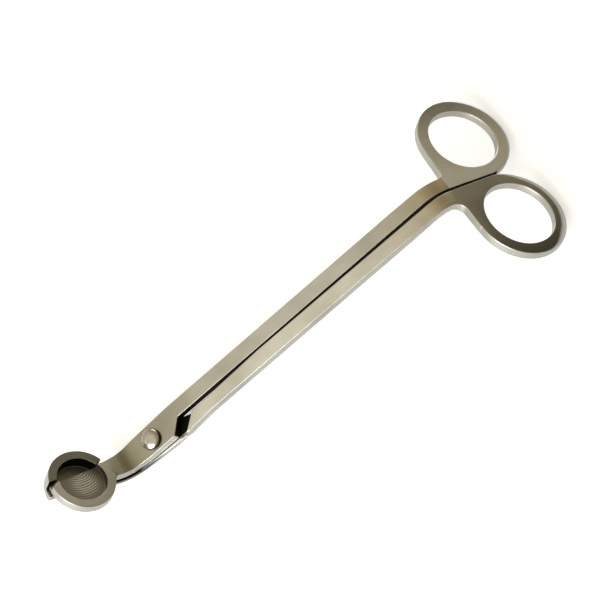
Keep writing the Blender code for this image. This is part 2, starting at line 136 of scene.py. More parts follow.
# Painted shade, black, stands for the dark in the split, the cups and under the arms. It lies on
# walls, whose normals have less than STEEP upwards, and past BLACK_TO_EDGE also on the edges broken
# on them, below SLANTED. The lower arm is out of sight from HIDDEN_FROM on
STEEP, SLANTED, FLAT = 0.35, 0.8, 0.9
SIDEWAYS, SQUARE_ON = 0.3, 0.5  # how much of a normal points across the tool
BLACK_TO_EDGE = 92 * MM
HIDDEN_FROM = UPPER_ARM_NEAR + 0.15 * MM

# Rivet
RIVET_HEAD = 6.8 * MM
RIVET_BRIM = 0.35 * MM
RIVET_RISE = 1.5 * MM
RIVET_SHANK = 4.0 * MM
RIVET_TAIL = 5.4 * MM
RIVET_TAIL_DEPTH = 0.8 * MM
RIVET_CLEARANCE = 0.15 * MM
RIVET_STEPS = 96

RING_TANGENT = RING_RADIUS * math.tan(RING_ANGLE / 2)
RING_BEND = RING_CORNER - RING_TANGENT
RING_FLAT = RING_BEND + RING_RADIUS * RING_ANGLE - RING_TANGENT
CUP_TANGENT = CUP_RADIUS * math.tan(CUP_ANGLE / 2)
CUP_BEND = CUP_CORNER - CUP_TANGENT
CUP_FLAT = CUP_BEND + CUP_RADIUS * CUP_ANGLE - CUP_TANGENT
LOWER_TOP = -(PLATE + ARM_GAP)
LOWER_BOTTOM = LOWER_TOP - LOWER_ARM
CUP_CENTRE = (-CUP_FLAT - CUP_FROM_CORNER, CUP_ASIDE)
LOWER_CUP_CENTRE = (CUP_CENTRE[0] - LOWER_CUP_SHIFT, CUP_ASIDE)

# The rivet's own frame, from the record's joint
JOINT = frame["record"]["behaviour"]["joints"][0]
AXIS = Vector(JOINT["axis"]).normalized()
ALONG = Vector((AXIS.z, 0, -AXIS.x))
TOOL = Matrix.Translation(JOINT["pos_m"]) @ Matrix(
    [[ALONG.x, 0, AXIS.x, 0], [ALONG.y, 1, AXIS.y, 0], [ALONG.z, 0, AXIS.z, 0], [0, 0, 0, 1]])

# Camera, in the rivet's frame: what it faces and how far to the side of it, from how far, and how
# it is turned
FACED = Vector((63.0, 0, 0)) * MM
SLIDE_RIGHT, SLIDE_UP = 1.912 * MM, 1.643 * MM
CAMERA_DISTANCE = 682.5 * MM
CAMERA_RIGHT = Vector((0.7374, -0.5162, -0.4357))
CAMERA_UP = Vector((0.6369, 0.7462, 0.1939))
LENS, SENSOR = 130.9, 36.0

# Painted reflection and shade on the steel's face, with some warm tint, along each half from the
# rivet in millimetres, 0.5 being plain, and on each ring's ground face beside the split and far out
UPPER_TINT_AND_SHADE = [(-40, (0.54, 0.54, 0.52)), (-17, (0.5, 0.495, 0.45)), (-11, (0.25, 0.235, 0.18)),
               (-5, (0.38, 0.37, 0.31)), (5, (0.38, 0.372, 0.32)), (22, (0.49, 0.49, 0.45)),
               (55, (0.55, 0.56, 0.55)), (95, (0.5, 0.5, 0.48)), (116, (0.42, 0.38, 0.28)),
               (130, (0.42, 0.38, 0.29))]
LOWER_TINT_AND_SHADE = [(-40, (0.2, 0.195, 0.175)), (-16, (0.2, 0.195, 0.175)), (-10, (0.5, 0.5, 0.5)),
               (12, (0.6, 0.6, 0.58)), (30, (0.62, 0.63, 0.6)), (60, (0.68, 0.69, 0.68)),
               (95, (0.62, 0.62, 0.6)), (116, (0.47, 0.43, 0.33)), (130, (0.44, 0.41, 0.33))]
UPPER_GROUND_EDGE, LOWER_GROUND_EDGE = 0.2, 4.0     # half the change's width at GROUND_FROM, in mm
# painted reflection and shade over each ring's face, from beside the split to far out
RING_SHADE_FROM, RING_SHADE_TO = 4.0, 30.0            # millimetres out from the split
UPPER_RING_PAINTED_SHADE = ((0.86, 0.85, 0.79), (0.33, 0.322, 0.29))
LOWER_RING_PAINTED_SHADE = ((0.4, 0.38, 0.33), (0.15, 0.143, 0.125))
FACE_FROM, FACE_FULLY = -0.06, -0.01                # heights, in mm: the painted shade is only on the face

# Finishes
STEEL = [(0.4, (0.53, 0.522, 0.49)), (0.5, (0.61, 0.6, 0.57)), (0.6, (0.69, 0.68, 0.655))]
# milling marks on the cup floor, over a darker floor that is painted shade under the rim
MILLED_MARKS_AND_SHADE = [(0.0, (0.27, 0.25, 0.21)), (0.35, (0.38, 0.36, 0.3)), (0.8, (0.85, 0.82, 0.72))]
POLISHED = [(0.35, (0.60, 0.575, 0.53)), (0.65, (0.74, 0.72, 0.68))]
# black of the painted shade in gaps, recesses and under the parts
PAINTED_SHADE_BLACK = (0.012, 0.011, 0.009)
# painted shade round the rivet's foot
RIVET_FOOT_SHADE = (0.03, 0.026, 0.02)
LINE_SHARE = 0.55               # of the steel's tone that is brush lines, the rest being clouds
SATIN, POLISH = 0.26, 0.13      # roughness, and below what is added to it
SATIN_LINES, POLISH_LINES = 0.16, 0.12
# roughness added on the milled floor, and on the painted shade
MILLED_ROUGHER, PAINTED_SHADE_ROUGHER = 0.12, 0.3
SATIN_BUMP, POLISH_BUMP = (0.12, 0.03 * MM), (0.1, 0.1 * MM)    # strength, depth
RIDGES = 6.0                    # the milling ridges' height, the brush lines' being 1

# Milling marks on the cup's floor, in mm from the cup's middle: arcs round one point, strong
# round another
MARKS_ROUND = (0.2, 5.8)
MARKS_STRONG = (0.6, -1.2)
MARKS_FULL, MARKS_END = 2.4, 6.0
MARKS_PITCH = 0.8
MARKS_WAVER = 0.9
MARKS_FROM_WALL = 0.2 * MM
MARKS_LAYER = 0.3 * MM          # the floor is all that lies below this height over it

# Light: the room is bright over the cup end and dim past the rings. Each lamp is given as its
# place in metres, its side, power and colour; the one by the rings is small and warm
BRIGHT_SIDE = Vector((-0.62, 0.1, 0.78))
ROOM = [(0.0, (0.03, 0.0262, 0.0185)), (0.3, (0.08, 0.0705, 0.05)), (0.42, (0.3, 0.262, 0.178)),
        (0.55, (0.27, 0.229, 0.144)), (0.72, (0.36, 0.302, 0.183)), (0.88, (0.64, 0.58, 0.43)),
        (1.0, (0.74, 0.695, 0.585))]
LAMPS = {"near_lamp": ((-0.7, -0.44, 0.48), 0.76, 8.6, (1, 1, 1)),
         "far_lamp": ((0.5, 1.0, 0.18), 0.6, 2.4, (1, 1, 1)),
         "ring_lamp": ((0.42, 0.3, 0.2), 0.16, 0.035, (1, 0.9, 0.68))}
PAPER = (0.89, 0.925, 0.98)
PAPER_ROUGHNESS, PAPER_SHINE = 0.9, 0.1
FLOOR_SIDE = 6.0
FLOOR_LIFT = 0.45               # light that the floor adds in the picture, but not in the steel


# ---------------------------------------------------------------- camera, floor, light

def set_camera():
    """The camera looks steeply down along the tool, which crosses the view from corner to corner."""
    back = CAMERA_RIGHT.cross(CAMERA_UP).normalized()
    right = CAMERA_UP.cross(back).normalized()
    up = back.cross(right)
    place = FACED + SLIDE_RIGHT * right + SLIDE_UP * up + CAMERA_DISTANCE * back
    turn = TOOL.to_3x3() @ Matrix((right, up, back)).transposed()
    data = bpy.data.cameras.new("camera")
    data.sensor_width = SENSOR
    data.lens = LENS
    data.clip_start = 0.01
    data.clip_end = 20.0
    camera = bpy.data.objects.new("camera", data)
    camera.matrix_world = Matrix.Translation(TOOL @ place) @ turn.to_4x4()
    bpy.context.scene.collection.objects.link(camera)
    bpy.context.scene.camera = camera


def lamp(name, place, side, power, colour):
    """A soft square lamp that faces the tool and isn't seen itself."""
    data = bpy.data.lights.new(name, "AREA")
    data.shape = "SQUARE"
    data.size = side
    data.energy = power
    data.color = colour
    thing = bpy.data.objects.new(name, data)
    thing.visible_camera = False
    bpy.context.scene.collection.objects.link(thing)
    thing.location = place
    thing.rotation_euler = (-Vector(place)).to_track_quat("-Z", "Y").to_euler()


def set_floor_and_light():
    """A white paper floor, the room's light, brighter on one side, and the lamps."""
    bpy.ops.mesh.primitive_plane_add(size=FLOOR_SIDE, location=(0, 0, 0))
    floor = bpy.context.object
    floor.name = "floor"
    paper = bpy.data.materials.new("white_paper")
    paper.use_nodes = True
    shader = paper.node_tree.nodes["Principled BSDF"]
    shader.inputs["Base Color"].default_value = (*PAPER, 1)
    shader.inputs["Roughness"].default_value = PAPER_ROUGHNESS
    shader.inputs["Specular IOR Level"].default_value = PAPER_SHINE
    shader.inputs["Emission Color"].default_value = (1, 1, 1, 1)
    seen = paper.node_tree.nodes.new("ShaderNodeLightPath")
    lift = maths(paper.node_tree.nodes, paper.node_tree.links, "MULTIPLY",
                 seen.outputs["Is Camera Ray"], FLOOR_LIFT)
    paper.node_tree.links.new(lift, shader.inputs["Emission Strength"])
    floor.data.materials.append(paper)

    world = bpy.data.worlds.new("studio")
    bpy.context.scene.world = world
    world.use_nodes = True
    nodes, links = world.node_tree.nodes, world.node_tree.links
    place = nodes.new("ShaderNodeTexCoord")
    facing = nodes.new("ShaderNodeVectorMath")
    facing.operation = "DOT_PRODUCT"
    facing.inputs[1].default_value = BRIGHT_SIDE.normalized()
    links.new(place.outputs["Generated"], facing.inputs[0])
    half = maths(nodes, links, "MULTIPLY_ADD", facing.outputs["Value"], 0.5, 0.5)
    links.new(ramp_node(nodes, links, half, ROOM), nodes["Background"].inputs["Color"])

    for name, settings in LAMPS.items():
        lamp(name, *settings)
    bpy.context.scene.view_settings.view_transform = "Standard"


# ---------------------------------------------------------------- outlines

def arc(centre, radii, start, end, steps):
    """Points on an ellipse's arc, from start to end in degrees, both ends included."""
    turns = np.radians(np.linspace(start, end, steps + 1))
    return [(centre[0] + radii[0] * math.cos(t), centre[1] + radii[1] * math.sin(t))
            for t in turns]


def rounded(corners, steps=12):
    """Points of a path whose corners (x, y, radius) are rounded where they have a radius."""
    points = []
    for before, corner, after in zip(corners, corners[1:], corners[2:]):
        here = Vector(corner[:2])
        if not corner[2]:
            points.append(tuple(here))
            continue
        towards = (Vector(before[:2]) - here).normalized()
        onwards = (Vector(after[:2]) - here).normalized()
        half = towards.angle(onwards) / 2
        first = here + towards * corner[2] / math.tan(half)
        centre = here + (towards + onwards).normalized() * corner[2] / math.sin(half)
        turn = math.pi - 2 * half
        side = 1 if towards.cross(onwards) < 0 else -1
        spoke = first - centre
        for step in range(steps + 1):
            spin = Matrix.Rotation(side * turn * step / steps, 2)
            points.append(tuple(centre + spin @ spoke))
    return points


def from_ring(distance, aside, radius=0.0):
    """A corner in the ring's plane, measured from the ring corner."""
    return (RING_FLAT + distance, aside, radius)


def from_cup(towards, aside, radius=0.0):
    """A corner in the cup's plane, measured from the cup's middle towards the neck."""
    return (CUP_CENTRE[0] + towards, aside, radius)


def ring_centre(side):
    """The middle of one finger ring's outer line."""
    return RING_FLAT + RING_FROM_CORNER, side * (RING_GAP + RING_WIDTH[side] / 2)


def hole_centre(side):
    """The middle of one finger hole, in the middle of the ring's width."""
    return RING_FLAT + HOLE_FROM_CORNER, ring_centre(side)[1]


def bar_point(side, turn, share):
    """A point of one ring's bar: the turn from the far end outwards, the share from the hole."""
    spoke = np.array([math.cos(turn), side * math.sin(turn)])
    inner = hole_centre(side) + spoke * (HOLE_LENGTH / 2, HOLE_WIDTH[side] / 2)
    outer = ring_centre(side) + spoke * (RING_LENGTH / 2, RING_WIDTH[side] / 2)
    return tuple(inner + (outer - inner) * share)


def web_side(side):
    """The web between the shank and one ring: the flat at the split, the bar's middle, the crotch."""
    flat = [from_ring(RING_FROM_CORNER - 0.5 * MM, side * RING_GAP)[:2]]
    middle = [bar_point(side, turn, 0.5) for turn in np.radians(np.linspace(-92, -190, 40))]
    crotch = from_ring(CROTCH_FROM_CORNER, side * CROTCH_ASIDE[side], CROTCH_RADIUS[side])
    near = from_ring(CROTCH_FROM_CORNER + 0.3 * MM, ring_centre(side)[1])
    shank = (RING_BEND, side * CROTCH_ASIDE[side], 0)
    return flat + middle + [near[:2]] + rounded([near, crotch, shank])


def upper_outline():
    """The upper half's blank, from its shoulder round by the ring, the neck and the cup."""
    shoulder = rounded([(0, UPPER_ARM_NEAR, 0),
                        (SHOULDER_START, UPPER_ARM_NEAR, 0.8 * MM),
                        (SHOULDER_END, UPPER_INNER, 1.2 * MM),
                        (RING_BEND, UPPER_INNER, 0),
                        (RING_FLAT, UPPER_INNER, 0)])
    neck = rounded([(RING_BEND, CROTCH_ASIDE[UPPER], 0),
                    (RING_BEND - 9 * MM, UPPER_OUTER, 20 * MM),
                    (9.0 * MM, UPPER_OUTER, 60 * MM),
                    (-CUP_BEND, UPPER_NECK_FAR, 20 * MM),
                    from_cup(CUP_OUTER - 1.1 * MM, 2.6 * MM),
                    from_cup(-CUP_INNER, 1.4 * MM)])
    edge = math.degrees(math.asin((LOWER_RIM_CUT - TIP_GAP - CUP_ASIDE) / CUP_OUTER))
    cup = arc(CUP_CENTRE, (CUP_OUTER, CUP_OUTER), 180 - edge, 336, CUP_STEPS // 2)
    arm = rounded([(*cup[-1], 0),
                   from_cup(CUP_OUTER + 0.7 * MM, -3.75 * MM, 0.8 * MM),
                   (-CUP_BEND - 2 * MM, UPPER_NECK_NEAR, 30 * MM),
                   (-CUP_BEND / 2, UPPER_ARM_NEAR, 30 * MM),
                   (SHOULDER_START, UPPER_ARM_NEAR, 0)])
    return shoulder + web_side(UPPER) + neck + cup + arm


def lower_outline():
    """The lower half's blank without its cup, which is joined on later."""
    beside_step = (STEP_DISTANCE - 3 * MM, LOWER_ARM_NEAR - 0.5 * MM, 4 * MM)
    shank = rounded([(0, LOWER_ARM_NEAR, 0),
                     beside_step,
                     (STEP_DISTANCE, LOWER_SHOULDER, 3 * MM),
                     (STEP_DISTANCE + 10 * MM, LOWER_OUTER, 20 * MM),
                     (RING_BEND - 9 * MM, LOWER_OUTER, 20 * MM),
                     (RING_BEND, -CROTCH_ASIDE[LOWER], 0)])
    split = rounded([(RING_FLAT + RING_FROM_CORNER, LOWER_INNER, 0),
                     from_ring(5 * MM, -0.55 * MM),
                     (RING_BEND, -0.8 * MM, 10 * MM),
                     (45.0 * MM, LOWER_INNER, 60 * MM),
                     (STEP_DISTANCE + 5 * MM, LOWER_INNER - MM, 0.5 * MM),
                     (STEP_DISTANCE, 0.3 * MM, 2 * MM),
                     (SHOULDER_START, LOWER_ARM_FAR, 4 * MM),
                     (-CUP_BEND, LOWER_NECK_FAR, 20 * MM),
                     from_cup(CUP_OUTER - 1.5 * MM, 2.4 * MM),
                     from_cup(CUP_OUTER - 4.3 * MM, 2.4 * MM),
                     from_cup(CUP_OUTER - 4.3 * MM, LOWER_CUT - 0.3 * MM),
                     from_cup(CUP_OUTER - 1.3 * MM, LOWER_CUT - 0.3 * MM, 1 * MM),
                     from_cup(CUP_OUTER + 1.2 * MM, -3.7 * MM, 3 * MM),
                     (-CUP_BEND - MM, LOWER_NECK_NEAR, 30 * MM),
                     (0, LOWER_ARM_NEAR, 20 * MM),
                     beside_step])
    return shank + web_side(LOWER)[::-1] + split


# ---------------------------------------------------------------- solids

def hold(name, edit):
    """Turns an edit mesh into an object in the scene."""
    bmesh.ops.recalc_face_normals(edit, faces=edit.faces)
    mesh = bpy.data.meshes.new(name)
    edit.to_mesh(mesh)
    edit.free()
    thing = bpy.data.objects.new(name, mesh)
    bpy.context.scene.collection.objects.link(thing)
    return thing


def applied(thing):
    """Applies an object's modifiers and returns a plain object of the same name."""
    bpy.context.view_layer.update()
    depsgraph = bpy.context.evaluated_depsgraph_get()
    mesh = bpy.data.meshes.new_from_object(thing.evaluated_get(depsgraph))
    name = thing.name
    bpy.data.objects.remove(thing, do_unlink=True)
    plain = bpy.data.objects.new(name, mesh)
    bpy.context.scene.collection.objects.link(plain)
    return plain


def plate(name, outline, bottom, top, broken=0.0):
    """A flat plate between two heights, with its sharp edges broken."""
    edit = bmesh.new()
    face = edit.faces.new([edit.verts.new((*point, bottom)) for point in outline])
    grown = bmesh.ops.extrude_face_region(edit, geom=[face])
    for part in grown["geom"]:
        if isinstance(part, bmesh.types.BMVert):
            part.co.z = top
    bmesh.ops.remove_doubles(edit, verts=edit.verts, dist=WELD)
    solid = hold(name, edit)
    if broken:
        bevel = solid.modifiers.new("broken edges", "BEVEL")
        bevel.width = broken
        bevel.segments = BREAK_STEPS
        bevel.limit_method = "ANGLE"
        bevel.angle_limit = BROKEN_ANGLE
        bevel.use_clamp_overlap = False
        solid = applied(solid)
    return solid


def bar_section(side, width, dressed):
    """A section of a ring's bar, as (distance from the hole's wall, height) all the way round."""
    far = [FAR_OUTER_TOP[side], FAR_OUTER_UNDER, FAR_INNER_UNDER, FAR_INNER_TOP]
    section = []
    for quarter, far_corner in enumerate(far):
        beside = np.array(BESIDE_SHANK)
        across, down = beside + (np.array(far_corner) - beside) * dressed
        centre = (width - across if quarter < 2 else across,
                  -down if quarter in (0, 3) else down - PLATE)
        start = 90 * (1 - quarter)
        section += arc(centre, (across, down), start, start - 90, BAR_STEPS)
    return section


def finger_ring(name, side):
    """A finger ring: square beside the shank, and dressed round at its far end."""
    edit = bmesh.new()
    sections = []
    for degrees in np.linspace(0, 360, RING_STEPS, endpoint=False):
        turn = math.radians(degrees)
        dressed = 1 - ramp(min(degrees, 360 - degrees), DRESSED_FULLY, DRESSED_FROM)
        width = math.dist(bar_point(side, turn, 0), bar_point(side, turn, 1))
        sections.append([edit.verts.new((*bar_point(side, turn, out / width), height))
                         for out, height in bar_section(side, width, dressed)])
    for here, onward in zip(sections, sections[1:] + sections[:1]):
        for k in range(len(here)):
            edit.faces.new((here[k - 1], here[k], onward[k], onward[k - 1]))
    return hold(name, edit)


def turned_cutter(name, centre, profile, steps):
    """A round cutter from its profile of (radius, height), bottom to top, closed at both ends."""
    edit = bmesh.new()
    rows = []
    for radius, height in profile:
        rows.append([edit.verts.new((*point, height))
                     for point in arc(centre, (radius, radius), 0, 360, steps)[:-1]])
    for low, high in zip(rows, rows[1:]):
        for k in range(steps):
            edit.faces.new((low[k - 1], low[k], high[k], high[k - 1]))
    edit.faces.new(rows[0])
    edit.faces.new(rows[-1])
    return hold(name, edit)


def cup_cutter(name, centre, radius, floor):
    """Cuts a cup: a flat floor, a small fillet, a straight wall and a broken rim."""
    fillet = [(radius - CUP_FILLET + x, floor + CUP_FILLET + y)
              for x, y in arc((0, 0), (CUP_FILLET, CUP_FILLET), -90, 0, 6)]
    rim = [(radius + CUP_EDGE + x, y - CUP_EDGE)
           for x, y in arc((0, 0), (CUP_EDGE, CUP_EDGE), 180, 100, 5)]
    over = (radius + CUP_EDGE, PLATE)
    return turned_cutter(name, centre, [*fillet, *rim, over], CUP_STEPS)


def combine(target, others, operation):
    """Cuts the others from the target, or joins them to it, and keeps the plain result."""
    for other in others:
        boolean = target.modifiers.new(other.name, "BOOLEAN")
        boolean.object = other
        boolean.operation = operation
        boolean.solver = "EXACT"
    target = applied(target)
    for other in others:
        bpy.data.objects.remove(other, do_unlink=True)
    return target


# ---------------------------------------------------------------- forging

def ramp(value, start, end):
    """0 before start and 1 after end, smooth between them."""
    share = min(max((value - start) / (end - start), 0.0), 1.0)
    return share * share * (3 - 2 * share)


def cut_across(edit, place, normal):
    """Puts a line of points right across a blank, without parting it."""
    bmesh.ops.bisect_plane(edit, geom=[*edit.verts, *edit.edges, *edit.faces],
                           plane_co=place, plane_no=normal, dist=WELD / 10)


def forge_step(solid):
    """Forges the lower half's arm down, so that it passes under the upper half's."""
    edit = bmesh.new()
    edit.from_mesh(solid.data)
    square = Vector((math.sin(STEP_SLANT), -math.cos(STEP_SLANT), 0))
    relief = (-CUP_BEND, -CUP_BEND - CUP_RADIUS * CUP_ANGLE)
    lines = list(np.linspace(STEP_DISTANCE, STEP_DISTANCE - STEP_RUN, 9))
    lines += list(np.linspace(UNDER_START, UNDER_END, 13))
    for line in lines:
        cut_across(edit, square * line, square)
    for line in np.linspace(relief[0], relief[1], 9):
        cut_across(edit, (line, 0, 0), (1, 0, 0))
    cut_across(edit, (0, HIDDEN_FROM, 0), (0, 1, 0))
    for vert in edit.verts:
        along = vert.co.dot(square)
        behind = vert.co.x < RING_BEND / 2
        top = LOWER_TOP * ramp(-along, -STEP_DISTANCE, STEP_RUN - STEP_DISTANCE) * behind
        under = ramp(-along, -UNDER_START, -UNDER_END) * behind
        bottom = -PLATE + (LOWER_BOTTOM + PLATE) * under
        sunk = (LOWER_CUP_DEPTH + LOWER_TOP) * ramp(-vert.co.x, -relief[0], -relief[1])
        vert.co.z = top + (bottom - top) * (-vert.co.z / PLATE) - sunk
    edit.to_mesh(solid.data)
    edit.free()


def bent(point):
    """Where a point of the flat blank goes when the neck and the rings are bent."""
    x, y, z = point
    if x > RING_BEND:
        turn = min((x - RING_BEND) / RING_RADIUS, RING_ANGLE)
        rest = x - RING_BEND - RING_RADIUS * turn
        radius = RING_RADIUS + z
        return Vector((RING_BEND + radius * math.sin(turn) + rest * math.cos(turn), y,
                       radius * math.cos(turn) - RING_RADIUS - rest * math.sin(turn)))
    if x < -CUP_BEND:
        turn = min((-CUP_BEND - x) / CUP_RADIUS, CUP_ANGLE)
        rest = -CUP_BEND - x - CUP_RADIUS * turn
        radius = CUP_RADIUS - z
        return Vector((-CUP_BEND - radius * math.sin(turn) - rest * math.cos(turn), y,
                       CUP_RADIUS - radius * math.cos(turn) + rest * math.sin(turn)))
    return Vector(point)


def between(value, start, end):
    """True from start to end, both in millimetres."""
    return start * MM <= value <= end * MM


def upper_painted_shade(place, face):
    """How much painted shade, black, lies at a point of one of the upper half's faces: in the split,
    in the cup, under the arm and on the rim's ends.
    """
    x, y, z = place
    normal = face.normal
    wall = abs(normal.z) < STEEP
    in_cup = math.dist((x, y), CUP_CENTRE) < CUP_INNER + 0.02 * MM
    by_rings = abs(normal.z) < SLANTED and x > BLACK_TO_EDGE
    in_split = x > SHOULDER_START and between(y, -4.2, 0.5)
    if (wall or by_rings) and normal.y < -SIDEWAYS and in_split:
        return 1.0
    underside = normal.z < -0.7
    if between(x, -16, 14) and underside:
        return 1.0
    if in_cup and abs(normal.z) < FLAT and -CUP_DEPTH - WELD < z < -CUP_EDGE / 2:
        return 0.85
    if wall and x < CUP_CENTRE[0] - 5 * MM and y > -2 * MM and normal.y > SIDEWAYS:
        return 1.0
    if wall and x < -CUP_FLAT - 5 * MM and normal.y > SQUARE_ON and y < 3.5 * MM:
        return 1.0
    return 0.0


def lower_painted_shade(place, face):
    """How much painted shade, black, lies at a point of one of the lower half's faces: in the split,
    under the upper arm, by the neck and in the cup.
    """
    x, y, z = place
    normal = face.normal
    wall = abs(normal.z) < STEEP
    at_cup = x < -CUP_FLAT - 6 * MM
    in_cup = math.dist((x, y), LOWER_CUP_CENTRE) < CUP_INNER + 0.02 * MM
    by_rings = abs(normal.z) < SLANTED and x > BLACK_TO_EDGE
    in_split = between(x, 9, 200) and between(y, -2.0, 0.1)
    if (wall or by_rings) and normal.y > SIDEWAYS and in_split:
        return 1.0
    hidden = y > HIDDEN_FROM - WELD and face.calc_center_median().y > HIDDEN_FROM
    upwards = normal.z > 0.2
    if not at_cup and x < 20 * MM and hidden and upwards:
        return ramp(-z, 0, 3.2 * MM)
    if not at_cup and between(x, -15, -6) and normal.y < -SIDEWAYS:
        return ramp(z - LOWER_BOTTOM, 0.7 * MM, 1.1 * MM)
    if at_cup and in_cup and abs(normal.z) < FLAT and z < -CUP_EDGE / 2:
        return 1.0
    if at_cup and wall and normal.y < -SQUARE_ON and z > -LOWER_CUP_DEPTH - MM and y > -1 * MM:
        return 1.0
    return 0.0


def bend(solid, painted_shade_at):
    """Bends a finished flat blank, keeping on it each point's flat place and its painted shade."""
    edit = bmesh.new()
    edit.from_mesh(solid.data)
    bmesh.ops.remove_doubles(edit, verts=edit.verts, dist=WELD)
    ring_end = RING_BEND + RING_RADIUS * RING_ANGLE
    cup_end = -CUP_BEND - CUP_RADIUS * CUP_ANGLE
    for share in np.linspace(0, 1, BEND_STEPS + 1):
        cut_across(edit, (RING_BEND + (ring_end - RING_BEND) * share, 0, 0), (1, 0, 0))
        cut_across(edit, (-CUP_BEND + (cup_end + CUP_BEND) * share, 0, 0), (1, 0, 0))
    bmesh.ops.triangulate(edit, faces=edit.faces, ngon_method="EAR_CLIP")
    bmesh.ops.remove_doubles(edit, verts=edit.verts, dist=WELD)
    bmesh.ops.recalc_face_normals(edit, faces=edit.faces)
    bmesh.ops.delete(edit, geom=[edge for edge in edit.edges if edge.is_wire], context="EDGES")
    edit.normal_update()
    blank = edit.verts.layers.float_vector.new("blank")
    painted_shade_mask = edit.loops.layers.float.new("painted_shade_mask")
    # painted shade: each face corner gets its share of black
    for face in edit.faces:
        for corner in face.loops:
            corner[painted_shade_mask] = painted_shade_at(corner.vert.co, face)
    for vert in edit.verts:
        vert[blank] = vert.co / MM
        vert.co = TOOL @ bent(vert.co)
    edit.to_mesh(solid.data)
    edit.free()
    return solid


def smooth(piece, material):
    """Gives a piece its steel and shades it smooth, the flat faces staying flat."""
    piece.data.materials.clear()
    piece.data.materials.append(material)
    piece.data.shade_smooth()
    piece.data.set_sharp_from_angle(angle=SHARP_ANGLE)
    weighted = piece.modifiers.new("flat faces stay flat", "WEIGHTED_NORMAL")
    weighted.mode = "FACE_AREA"
    weighted.keep_sharp = True
    weighted.weight = 60
    return applied(piece)


# ---------------------------------------------------------------- the three pieces

def make_upper_half(material):
    """The half that lies on top at the rivet, with the near part of the cup."""
    blank = plate("upper_half_steel", upper_outline(), -PLATE, 0, BROKEN_EDGE)
    blank = combine(blank, [finger_ring("upper_ring", UPPER)], "UNION")
    recess = cup_cutter("upper_recess", CUP_CENTRE, CUP_INNER, -CUP_DEPTH)
    inside, beyond = 0.65 * MM - CUP_INNER, -CUP_OUTER - 3.1 * MM
    tip = [from_cup(inside, 1.2 * MM)[:2], from_cup(beyond, -2.2 * MM)[:2],
           from_cup(beyond, 4.0 * MM)[:2], from_cup(inside, 4.0 * MM)[:2]]
    rim_end = plate("upper_rim_end", tip, -CUP_DEPTH, PLATE)
    hole = RIVET_SHANK / 2 + RIVET_CLEARANCE
    bore = turned_cutter("upper_bore", (0, 0), [(hole, -2 * PLATE), (hole, PLATE)], RIVET_STEPS)
    half = combine(blank, [recess, rim_end, bore], "DIFFERENCE")
    return smooth(bend(half, upper_painted_shade), material)


def make_lower_cup():
    """The lower half's cup: a floor, and a rim round its far side."""
    outline = arc(LOWER_CUP_CENTRE, (CUP_OUTER, CUP_OUTER), -5, 183, CUP_STEPS // 2)
    cup = plate("lower_cup", outline, -LOWER_CUP_DEPTH - LOWER_ARM, 0, CUP_EDGE)
    inside = cup_cutter("lower_inside", LOWER_CUP_CENTRE, CUP_INNER, -LOWER_CUP_DEPTH)
    by_neck, beyond = CUP_OUTER + 0.7 * MM, -2 * CUP_OUTER
    near = [from_cup(beyond, LOWER_RIM_CUT)[:2],
            from_cup(CUP_INNER - 3.55 * MM, LOWER_RIM_CUT)[:2],
            from_cup(CUP_INNER - 0.85 * MM, 2.65 * MM)[:2], from_cup(by_neck, 4.7 * MM)[:2],
            from_cup(by_neck, beyond)[:2], from_cup(beyond, beyond)[:2]]
    opening = plate("lower_opening", near, -LOWER_CUP_DEPTH, PLATE)
    return combine(cup, [inside, opening], "DIFFERENCE")


def make_lower_half(material):
    """The half whose arm steps down under the other, with the far part of the cup."""
    blank = plate("lower_half_steel", lower_outline(), -PLATE, 0, BROKEN_EDGE)
    forge_step(blank)
    half = combine(blank, [make_lower_cup(), finger_ring("lower_ring", LOWER)], "UNION")
    hole = RIVET_SHANK / 2 + RIVET_CLEARANCE
    bore = turned_cutter("lower_bore", (0, 0), [(hole, 2 * LOWER_BOTTOM), (hole, PLATE)],
                         RIVET_STEPS)
    flare = RIVET_TAIL / 2 + RIVET_CLEARANCE
    seat = turned_cutter("lower_seat", (0, 0), [(flare + PAST, LOWER_BOTTOM - PAST),
                                                (hole, LOWER_BOTTOM + RIVET_TAIL_DEPTH)],
                         RIVET_STEPS)
    half = combine(half, [bore, seat], "DIFFERENCE")
    return smooth(bend(half, lower_painted_shade), material)


def rivet_profile():
    """The rivet's profile from the middle of its dome down to the middle of its tail."""
    neck = RIVET_SHANK / 2
    head = RIVET_HEAD / 2
    under = ARM_GAP / 2
    brim = under + RIVET_BRIM
    dome = [(head * math.cos(t), brim + RIVET_RISE * math.sin(t))
            for t in np.radians(np.linspace(90, 0, 25))]
    foot = [(head - 0.12 * MM, under), (neck, under)]
    tail = [(neck, LOWER_BOTTOM + RIVET_TAIL_DEPTH), (RIVET_TAIL / 2, LOWER_BOTTOM)]
    return [(0.0, brim + RIVET_RISE), *dome[1:], *foot, *tail, (0.0, LOWER_BOTTOM)]


